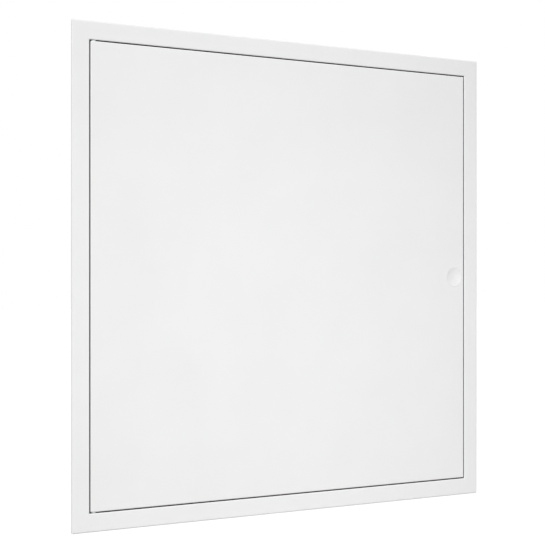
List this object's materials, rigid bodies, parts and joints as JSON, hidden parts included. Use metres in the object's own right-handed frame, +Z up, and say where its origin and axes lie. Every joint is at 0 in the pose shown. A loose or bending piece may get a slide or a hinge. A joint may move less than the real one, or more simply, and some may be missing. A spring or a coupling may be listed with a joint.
{
  "type": "ceiling access panel",
  "caption": "Square flush access panel: a flange frame with a tray door on hidden pivots, a retracting pivot pin and a cam latch under a dished cap.",
  "frame": {"origin": "centre of the opening, on the plane of the flange's back, where it meets the ceiling or wall", "axes": "+X to the latch side, +Y back through the opening, +Z up as in the picture; in a ceiling the front, -Y, faces down"},
  "size_m": [0.65, 0.05, 0.65],
  "materials": {
    "powder_coat": "white satin powder coat on sheet steel",
    "galvanised_steel": "hot-dip galvanised sheet with faint spangle",
    "zinc_plate": "bright zinc plating on turned and pressed steel",
    "spring_steel": "drawn spring wire",
    "seal_rubber": "matt black extruded rubber",
    "nylon": "natural white moulded nylon",
    "latch_plastic": "dark grey glass-filled nylon",
    "cap_plastic": "white moulded plastic to match the door"
  },
  "bodies": {
    "frame": {"frame_rail_top": "powder_coat", "frame_rail_lock_side": "powder_coat", "frame_rail_bottom": "powder_coat", "frame_rail_hinge_side": "powder_coat", "stop_angle_top": "powder_coat", "stop_angle_lock_side": "powder_coat", "stop_angle_bottom": "powder_coat", "stop_angle_hinge_side": "powder_coat", "seal_top": "seal_rubber", "seal_lock_side": "seal_rubber", "seal_bottom": "seal_rubber", "seal_hinge_side": "seal_rubber", "corner_cleat_hinge_top": "galvanised_steel", "corner_cleat_lock_top": "galvanised_steel", "corner_cleat_lock_bottom": "galvanised_steel", "corner_cleat_hinge_bottom": "galvanised_steel", "cleat_rivets": "zinc_plate", "bottom_pivot_pin": "zinc_plate"},
    "door": {"door_skin": "powder_coat", "door_stiffener_upper": "powder_coat", "door_stiffener_lower": "powder_coat", "pivot_bush_top": "nylon", "pivot_bush_bottom": "nylon", "pin_guide": "zinc_plate", "latch_housing": "latch_plastic", "latch_studs": "zinc_plate", "latch_nuts": "zinc_plate"},
    "spring_pin": {"spring_pin": "zinc_plate", "pin_spring": "spring_steel"},
    "latch": {"latch_core": "zinc_plate", "latch_cam": "zinc_plate", "cam_spring_washer": "zinc_plate", "cam_washer": "zinc_plate", "cam_screw": "zinc_plate"},
    "cap": {"latch_cap": "cap_plastic"}
  },
  "joints": [
    {"name": "door_swing", "type": "hinge", "parent": "frame", "child": "door", "pos_m": [-0.2946, 0.0005, 0], "axis": [0, 0, -1], "range_deg": [0, 105]},
    {"name": "pin_retract", "type": "slide", "parent": "door", "child": "spring_pin", "axis": [0, 0, -1], "range_m": [0, 0.008], "stiffness_N_per_m": 600, "deforming": ["pin_spring"]},
    {"name": "latch_turn", "type": "hinge", "parent": "door", "child": "latch", "pos_m": [0.2816, 0.017, 0], "axis": [0, -1, 0], "range_deg": [0, 90]},
    {"name": "cap_pull", "type": "slide", "parent": "door", "child": "cap", "axis": [0, -1, 0], "range_m": [0, 0.03]}
  ]
}
